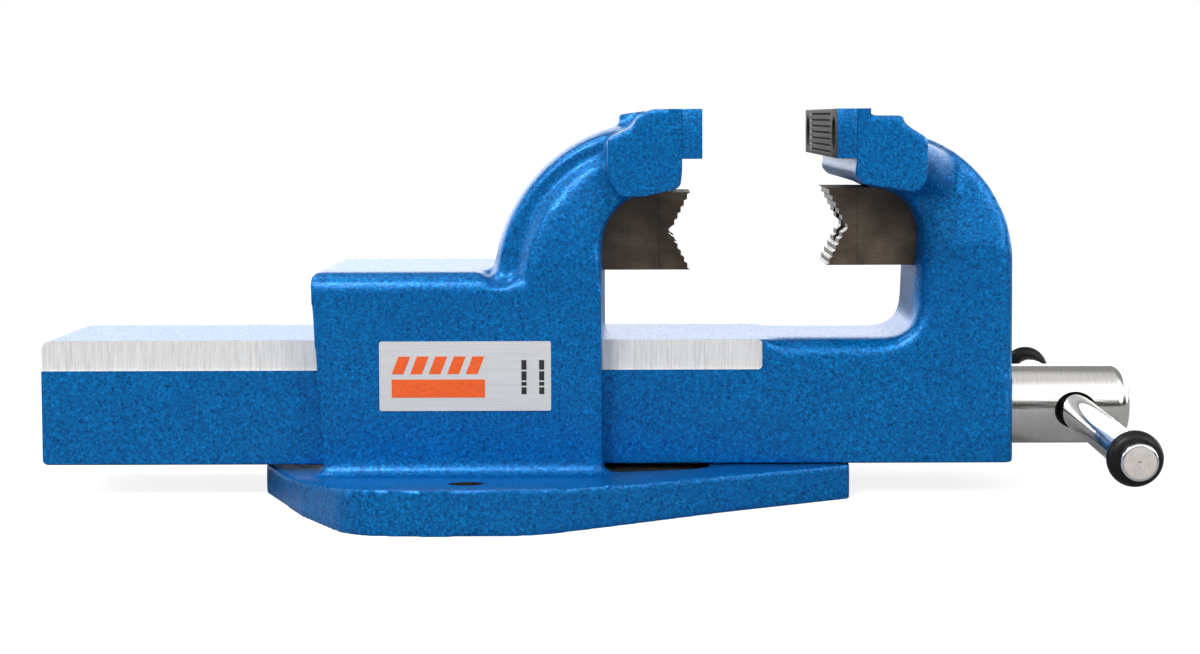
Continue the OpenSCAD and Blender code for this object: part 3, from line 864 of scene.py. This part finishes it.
def screw_rows():
    """Rows (along, radius, how much thread) from the free end to the rounded head."""
    start = SCREW_LOW.x
    rows = [(start, 6.9, 0.0), (start + 0.8, 7.6, 0.0), (start + 2.0, 7.7, 0.0)]
    first = start + 3.0
    last = COLLAR_LOW.x - 5.5
    rows_a_turn = 12
    runout = 2.4                        # the length over which the thread fades out
    count = int((last - first) / LEAD * rows_a_turn)
    for i in range(count + 1):
        along = first + (last - first) * i / count
        rows.append((along, SCREW_RADIUS, min(1.0, (last - along) / runout)))
    shoulder = FRONT - 0.5
    rows += [(shoulder, SCREW_RADIUS, 0.0), (shoulder, HUB_RADIUS - 0.5, 0.0)]
    rows.append((shoulder + 0.5, HUB_RADIUS, 0.0))
    rows += [(x, r, 0.0) for r, x in arc(HUB_RADIUS - HUB_END, SCREW_HIGH.x - HUB_END, HUB_END, 0, 90, 12)]
    return rows


def lead_screw():
    """The screw with its real thread, rounded head, flared cross hole and pin hole."""
    rows = screw_rows()
    steps = 64
    points = []
    for along, radius, share in rows:
        for j in range(steps):
            part = j / steps
            r = radius - share * thread_depth(along / LEAD - part)
            points.append((along, r * math.cos(2 * math.pi * part), BAR_Z + r * math.sin(2 * math.pi * part)))
    faces = skin_faces(len(rows), steps)
    faces += [tuple(range(steps)), tuple(range(len(points) - steps, len(points)))]
    screw = mesh_object("lead_screw_look", points, faces, TURNED)
    flare = [(-20, 0), (-20, 11.0), (-15.6, 8.3), (-13.0, CROSS_HOLE)]
    hole = flare + [(-y, r) for y, r in reversed(flare)]
    pin_x = (COLLAR_LOW.x + COLLAR_HIGH.x) / 2
    low, high = BAR_Z - 16, BAR_Z + 16
    pin = lathe("pin_hole", [(low, 0), (low, PIN_HOLE), (high, PIN_HOLE), (high, 0)],
                (pin_x, 0.0), "z", TURNED, 32)
    # painted shade: the cross hole and its flare are cut in near-black steel, not the screw's turned steel
    combine(screw, [tilted(lathe("cross_hole", hole, (HANDLE_X, BAR_Z), "y", HARD_STEEL_AND_SHADE)), pin], "DIFFERENCE")
    return piece(screw, SPINDLE, "turned_steel", "lead_screw")


def handle_bar():
    """The chrome bar, with a seat for each ring and a centre dimple in its near end."""
    near, far = HANDLE_MIDDLE - HANDLE_HALF, HANDLE_MIDDLE + HANDLE_HALF
    edge = HANDLE_RADIUS - RING_SEAT
    profile = [(near, 0), (near, RING_SEAT)]
    profile += [(y, r) for r, y in arc(RING_SEAT, near + edge, edge, -90, 0, 5)][1:]
    for ring_y in (RING_NEAR, RING_FAR):
        profile += [(ring_y - RING_HALF, HANDLE_RADIUS), (ring_y - RING_HALF, RING_SEAT)]
        profile += [(ring_y + RING_HALF, RING_SEAT), (ring_y + RING_HALF, HANDLE_RADIUS)]
    profile += [(y, r) for r, y in arc(RING_SEAT, far - edge, edge, 0, 90, 5)] + [(far, 0)]
    bar = lathe("handle_bar_look", profile, (HANDLE_X, BAR_Z), "y", CHROME)
    bar.data.materials.append(END)
    for face in bar.data.polygons:
        if abs(face.normal.y) > 0.99 and abs(face.center.y / MM - HANDLE_MIDDLE) > HANDLE_HALF - 0.5:
            face.material_index = 1
    dimple = lathe("dimple", [(near - 2, 0), (near - 2, 2.2), (near + 0.9, 0.05), (near + 0.9, 0)],
                   (HANDLE_X, BAR_Z), "y", END, 24)
    combine(bar, [dimple], "DIFFERENCE")
    return piece(tilted(bar), HANDLE, "chrome_bar", "handle_bar")


def handle_ring(name, ring_y):
    """A rubber ring in its seat, with a round outer side."""
    bore = 5.6
    foot_half = 2.6
    middle, height = 6.75, 3.05         # of the round side, from the bar's axis
    outline = [(ring_y - foot_half, bore)]
    for angle in range(-95, 96, 10):
        t = math.radians(angle)
        outline.append((ring_y + RING_HALF * math.sin(t), middle + height * math.cos(t)))
    outline.append((ring_y + foot_half, bore))
    rubber_ring = tilted(ring(name + "_look", outline, (HANDLE_X, BAR_Z), RUBBER))
    return piece(rubber_ring, HANDLE, "black_rubber", name)


def return_spring():
    """The spring behind the jaw, between the collar and its seat."""
    steps = 36
    around = 14
    turns = 4
    wire = 1.5
    coil = 12.0
    start = COLLAR_HIGH.x + wire
    pitch = (SPRING_END - COLLAR_HIGH.x - 2 * wire) / turns
    points = []
    count = turns * steps
    for i in range(count + 1):
        turn = 2 * math.pi * i / steps
        for j in range(around):
            a = 2 * math.pi * j / around
            r = coil + wire * math.cos(a)
            points.append((start + pitch * i / steps + wire * math.sin(a), r * math.cos(turn),
                           BAR_Z + r * math.sin(turn)))
    faces = skin_faces(count + 1, around)
    faces += [tuple(range(around)), tuple(range(count * around, (count + 1) * around))]
    spring = mesh_object("return_spring_look", points, faces, TURNED)
    return piece(spring, SPINDLE, "turned_steel", "return_spring")


lead_screw()
handle_bar()
handle_ring("handle_ring_near", RING_NEAR)
handle_ring("handle_ring_far", RING_FAR)
return_spring()


# ------------------------ jaw plates and pipe jaws

TOOTH = worn_steel()
PLATE_SEAT = 0.5                # how far a plate is let into its land
SCREW_Y = 51.0
PANEL = 39.0                    # half the length of a plate's serrated panel
RIDGE = 2.35                    # from one groove to the next
FIRST_GROOVE = 1.9              # from a plate's lower edge
GROOVE = (1.2, 0.75)            # half width and depth of a groove
# the line at each end of a panel is painted bright, as a highlight
BORDER = (0.7, 0.55)            # and of the line at each end of a panel
PLATE_SCREW = (6.2, 3.2)        # radius of a countersink and of the hole below it
V_HALF = 14.9                   # half the opening of a pipe jaw's V
V_DEPTH = 7.4
V_TEETH = 6
NOTCH = (1.25, 0.75)            # depth and drop of the notch between two teeth
PIPE_SCREW = (6.8, 16.8, 4.2)   # counterbore's radius and depth, and the hole's radius
SCORE = (12, 0.25, 0.3)         # a scored line: distance from the tip, half width, depth


def jaw_plate(name, low, high, face, into, body):
    """A plate with painted sides; face is the X of its working face and into points behind it."""
    low, high = low.copy(), high.copy()
    middle = (low.z + high.z) / 2
    if into > 0:
        high.x += PLATE_SEAT
    else:
        low.x -= PLATE_SEAT
    plate = bevelled(block(name + "_look", low, high, PAINT), 0.35)
    bake_modifiers(plate)
    plate.data.materials.append(HARD_STEEL_AND_SHADE)
    for side in plate.data.polygons:
        if abs(side.normal.x) > 0.5:
            side.material_index = 1
    cutters = []
    half, depth = GROOVE
    z = low.z + FIRST_GROOVE
    while z < high.z - half:
        groove = [(face - into, z - half), (face - into, z + half), (face + depth * into, z)]
        cutters.append(prism("groove", groove, "y", -PANEL, PANEL, HARD_STEEL_AND_SHADE))
        z += RIDGE
    half, depth = BORDER
    wide, narrow = PLATE_SCREW
    for sign in (-1, 1):
        edge = [(face - into, sign * PANEL - half), (face - into, sign * PANEL + half),
                (face + depth * into, sign * PANEL)]
        # painted highlight: each border line is cut in bright way steel, standing for light caught at the
        # panel's ends
        cutters.append(prism("border", edge, "z", low.z - 1, high.z + 1, WAY_STEEL_AND_HIGHLIGHT))
        sink = [(face - 2 * into, 0), (face - 2 * into, wide), (face + 1.2 * into, wide),
                (face + 4.5 * into, narrow), (face + 9 * into, narrow), (face + 9 * into, 0)]
        cutters.append(lathe("countersink", sink, (sign * SCREW_Y, middle), "x", HARD_STEEL_AND_SHADE, 48))
    combine(plate, cutters, "DIFFERENCE")
    return piece(plate, body, "hard_steel", name)


def toothed_leg(tip, apex, into, way):
    """Saw teeth along one leg of the V, from the tip towards the apex; way is +1 going up."""
    depth, drop = NOTCH
    points = []
    for i in range(V_TEETH):
        share = i / V_TEETH
        x = tip + (apex - tip) * share
        z = V_HALF * (1 - share)
        points.append((x, way * z))
        points.append((x + into * depth, way * (z - drop)))
    return points


def pipe_jaw(name, low, high, tip, into, body):
    """A pipe jaw with a toothed V; tip is the X of its teeth and into points behind them."""
    middle = (low.z + high.z) / 2
    back = high.x if into > 0 else low.x
    apex = tip + into * V_DEPTH
    upper = toothed_leg(tip, apex, into, 1)
    lower = toothed_leg(tip, apex, into, -1)
    v = upper + [(apex + 0.9 * into, 0.8), (apex + 0.9 * into, -0.8)] + lower[::-1]
    outline = [(x, middle + z) for x, z in v] + [(back, low.z), (back, high.z)]
    jaw = prism(name + "_look", outline, "y", low.y, high.y, PIPE)
    jaw.data.materials.append(TOOTH)
    for side in jaw.data.polygons:
        if abs(side.normal.y) < 0.5 and abs(side.center.x / MM - tip) < 9 and abs(side.normal.x) > 0.1:
            side.material_index = 1
    head, depth, clear = PIPE_SCREW
    sink = [(tip - 2 * into, 0), (tip - 2 * into, head), (tip + depth * into, head),
            (tip + depth * into, clear), (back + 2 * into, clear), (back + 2 * into, 0)]
    behind, half, cut = SCORE
    line = tip + behind * into
    score = [(line - half, low.y - 1), (line + half, low.y - 1), (line, low.y + cut)]
    cutters = [lathe("counterbore", sink, (0.0, middle), "x", HARD_STEEL_AND_SHADE, 64),
               prism("score", score, "z", low.z - 1, high.z + 1, HARD_STEEL_AND_SHADE)]
    combine(jaw, cutters, "DIFFERENCE")
    bevelled(jaw, 0.25, 50)
    return piece(jaw, body, "pipe_steel", name)


jaw_plate("jaw_plate_fixed", FIXED_LOW, FIXED_HIGH, FIXED_HIGH.x, -1, BODY)
jaw_plate("jaw_plate_moving", MOVING_LOW, MOVING_HIGH, MOVING_LOW.x, 1, JAW)
pipe_jaw("pipe_jaw_fixed", PIPE_FIXED_LOW, PIPE_FIXED_HIGH, PIPE_FIXED_HIGH.x, -1, BODY)
pipe_jaw("pipe_jaw_moving", PIPE_MOVING_LOW, PIPE_MOVING_HIGH, PIPE_MOVING_LOW.x, 1, JAW)


# ------------------------ label and fittings


def label_plate():
    """An aluminium plate with a plain printed pattern of slanted bars and tick marks."""
    low, high = LABEL_LOW, LABEL_HIGH
    corner = 0.8
    outline = rounded([(low.x, low.z, corner), (high.x, low.z, corner), (high.x, high.z, corner),
                       (low.x, high.z, corner)], 5)
    plate = prism("label_plate_look", outline, "y", low.y, high.y, LABEL)
    prints = []

    def bar(x0, z0, x1, z1, lean, ink_paint):
        corners = [(x0, z0), (x1, z0), (x1 + lean, z1), (x0 + lean, z1)]
        shape = [(low.x + x, low.z + z) for x, z in corners]
        prints.append(prism("mark", shape, "y", low.y - 0.08, low.y + 0.1, ink_paint))

    for i in range(5):
        bar(4.6 + 6.9 * i, 13.8, 9.0 + 6.9 * i, 20.4, 2.6, ORANGE)
    bar(4.6, 5.0, 39.4, 11.8, 0, ORANGE)
    for x in (53.0, 59.6):
        for z, length in ((6.2, 2.6), (9.4, 1.4), (11.4, 3.4), (15.4, 3.6)):
            bar(x, z, x + 1.9, z + length, 0, BLACK)
    combine(plate, prints, "UNION")
    return piece(plate, BODY, "label_aluminium", "label_plate")


label_plate()

# CAD nodes that stay as they are, each with its finish and the width of its eased edges
for kept_node, finish, edge_width in (
        ("main_nut", BRONZE, 0.8),
        ("nut_screws", HARD_STEEL_AND_SHADE, 0.25),
        ("nut_washers", TURNED, 0.2),
        ("thrust_washer", TURNED, 0.3),
        ("spring_seat", TURNED, 0.3),
        ("retaining_collar", TURNED, 0.6),
        ("collar_pin", HARD_STEEL_AND_SHADE, 0.3),
        ("jaw_screws_fixed", HARD_STEEL_AND_SHADE, 0.15),
        ("jaw_screws_moving", HARD_STEEL_AND_SHADE, 0.15),
        ("pipe_screw_fixed", HARD_STEEL_AND_SHADE, 0.3),
        ("pipe_screw_moving", HARD_STEEL_AND_SHADE, 0.3)):
    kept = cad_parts[kept_node]
    kept.data.materials.clear()
    kept.data.materials.append(finish)
    bevelled(kept, edge_width, 40)


# ------------------------ camera, light and floor

CAMERA = (61.0, -734.0, 145.3)  # where the camera stands
PITCH = 2.8
ROLL = 0.17


def camera():
    """The photo's camera, solved from landmarks, with its frame's centre shifted."""
    data = bpy.data.cameras.new("camera")
    data.lens = 56.12
    data.sensor_width = 36.0
    data.shift_x = -0.0296
    data.shift_y = -0.0987
    data.clip_start = 0.01
    cam = bpy.data.objects.new("camera", data)
    cam.location = Vector(CAMERA) * MM
    cam.rotation_euler = (math.radians(90 - PITCH), math.radians(ROLL), 0)
    bpy.context.collection.objects.link(cam)
    bpy.context.scene.camera = cam


def softbox(name, place, target, size, power):
    """A rectangular light at a place, in metres, turned to a target."""
    data = bpy.data.lights.new(name, "AREA")
    data.shape = "RECTANGLE"
    data.size, data.size_y = size
    data.energy = power
    light = bpy.data.objects.new(name, data)
    light.location = place
    light.rotation_euler = (Vector(target) - Vector(place)).to_track_quat("-Z", "Y").to_euler()
    bpy.context.collection.objects.link(light)


def white_floor():
    """A white sweep to the eye, and a mid grey one in reflections."""
    m = Nodes("floor_paint")
    tone = m.ramp(m.noise(3.0), [(0.3, (0.36, 0.36, 0.36)), (0.7, (0.40, 0.40, 0.40))])
    seen = m.add("LightPath").outputs["Is Camera Ray"]
    m.link(m.spread(seen, 0.0, 0.84), m.shader.inputs["Emission Strength"])
    m.set(specular_ior_level=0.0, emission_color=(1, 1, 1, 1))
    corners = [(-9000, -9000, -0.02), (9000, -9000, -0.02), (9000, 9000, -0.02), (-9000, 9000, -0.02)]
    mesh_object("floor", corners, [(0, 1, 2, 3)], m.finish(tone, m.spread(m.noise(40), 0.7, 0.8)))


def sky():
    """A white backdrop, with the studio's darker walls and bright ceiling in reflections only."""
    world = bpy.data.worlds.new("studio")
    bpy.context.scene.world = world
    world.use_nodes = True
    tree = world.node_tree
    nodes = tree.nodes
    link = tree.links.new
    coords = nodes.new("ShaderNodeTexCoord")
    split = nodes.new("ShaderNodeSeparateXYZ")
    link(coords.outputs["Generated"], split.inputs["Vector"])
    front = nodes.new("ShaderNodeValToRGB")
    back = nodes.new("ShaderNodeValToRGB")
    for node, wall in ((front, FRONT_WALL), (back, BACK_WALL)):
        set_stops(node.color_ramp, [(place, (grey, grey, grey)) for place, grey in wall])
        link(split.outputs["Z"], node.inputs["Fac"])
    side = nodes.new("ShaderNodeMapRange")
    side.inputs["From Min"].default_value = -0.12
    side.inputs["From Max"].default_value = 0.12
    link(split.outputs["Y"], side.inputs["Value"])
    room = nodes.new("ShaderNodeMix")
    room.data_type = "RGBA"
    link(side.outputs["Result"], room.inputs[0])
    link(front.outputs["Color"], room.inputs[6])
    link(back.outputs["Color"], room.inputs[7])
    ray = nodes.new("ShaderNodeLightPath")
    pick = nodes.new("ShaderNodeMix")
    pick.data_type = "RGBA"
    pick.inputs[6].default_value = (1, 1, 1, 1)
    link(ray.outputs["Is Glossy Ray"], pick.inputs[0])
    link(room.outputs[2], pick.inputs[7])
    level = nodes.new("ShaderNodeMapRange")
    level.inputs["To Min"].default_value = DAYLIGHT
    level.inputs["To Max"].default_value = 1.0
    link(ray.outputs["Is Camera Ray"], level.inputs["Value"])
    gloss = nodes.new("ShaderNodeMath")
    gloss.operation = "MULTIPLY_ADD"
    gloss.inputs[1].default_value = WALLS - DAYLIGHT
    link(ray.outputs["Is Glossy Ray"], gloss.inputs[0])
    link(level.outputs["Result"], gloss.inputs[2])
    background = nodes["Background"]
    link(pick.outputs[2], background.inputs["Color"])
    link(gloss.outputs[0], background.inputs["Strength"])


DAYLIGHT = 0.62                 # how brightly the room lights matt surfaces
WALLS = 2.6                     # the brightest wall in a reflection
FRONT_WALL = [(0.0, 0.006), (0.12, 0.006), (0.17, 0.11), (0.25, 0.11), (0.29, 0.5), (0.60, 0.62),
              (0.84, 0.56), (0.95, 0.3)]    # grey by height, from the horizon to overhead
BACK_WALL = [(0.0, 1.0), (0.40, 1.0), (0.48, 0.12), (0.85, 0.12), (0.97, 0.3)]

camera()
white_floor()
sky()
softbox("key", (-0.5, -1.3, 1.2), (0.05, 0, 0.07), (0.5, 0.4), 18)
softbox("fill", (1.2, -1.2, 0.6), (0.05, 0, 0.07), (0.6, 0.6), 6)
softbox("rim", (-0.45, 0.05, 1.0), (0.03, 0, 0.1), (0.3, 0.3), 2.5)
bpy.context.scene.view_settings.view_transform = "Standard"
